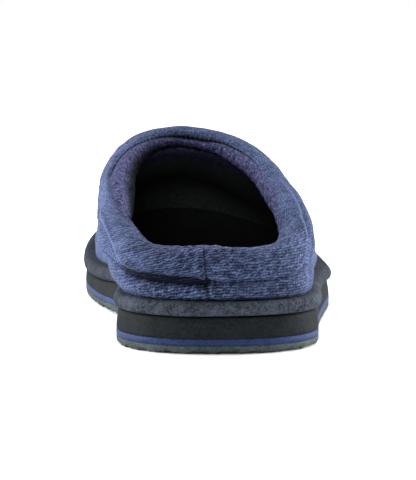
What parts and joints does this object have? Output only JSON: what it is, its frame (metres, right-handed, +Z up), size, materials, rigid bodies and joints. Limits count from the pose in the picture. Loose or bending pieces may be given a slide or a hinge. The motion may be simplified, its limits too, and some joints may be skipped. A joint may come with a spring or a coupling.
{
  "type": "scuff slipper",
  "caption": "Right-foot scuff slipper: closed rounded toe, low padded heel collar round a slanting opening, knitted upper on a wrapped platform, foam midsole and thin rubber outsole.",
  "frame": {"origin": "middle of the bounding box at its lowest level, on the floor that the sole stands on", "axes": "+Z up, +Y from the heel to the toe, +X towards the outer (lateral) side of the right foot"},
  "size_m": [0.111, 0.2882, 0.0813],
  "materials": {
    "grey_rubber": "matt, fine tread",
    "blue_foam": "matt foam",
    "charcoal_foam": "matt foam",
    "slate_suede": "brushed, suede-like",
    "dark_terry": "short pile",
    "heather_knit": "heathered knit",
    "collar_knit": "heathered knit over padding"
  },
  "bodies": {
    "root": {"outsole": "grey_rubber", "colour_layer": "blue_foam", "midsole": "charcoal_foam", "platform": "slate_suede", "insole": "dark_terry", "upper": "heather_knit", "collar": "collar_knit"}
  },
  "joints": []
}
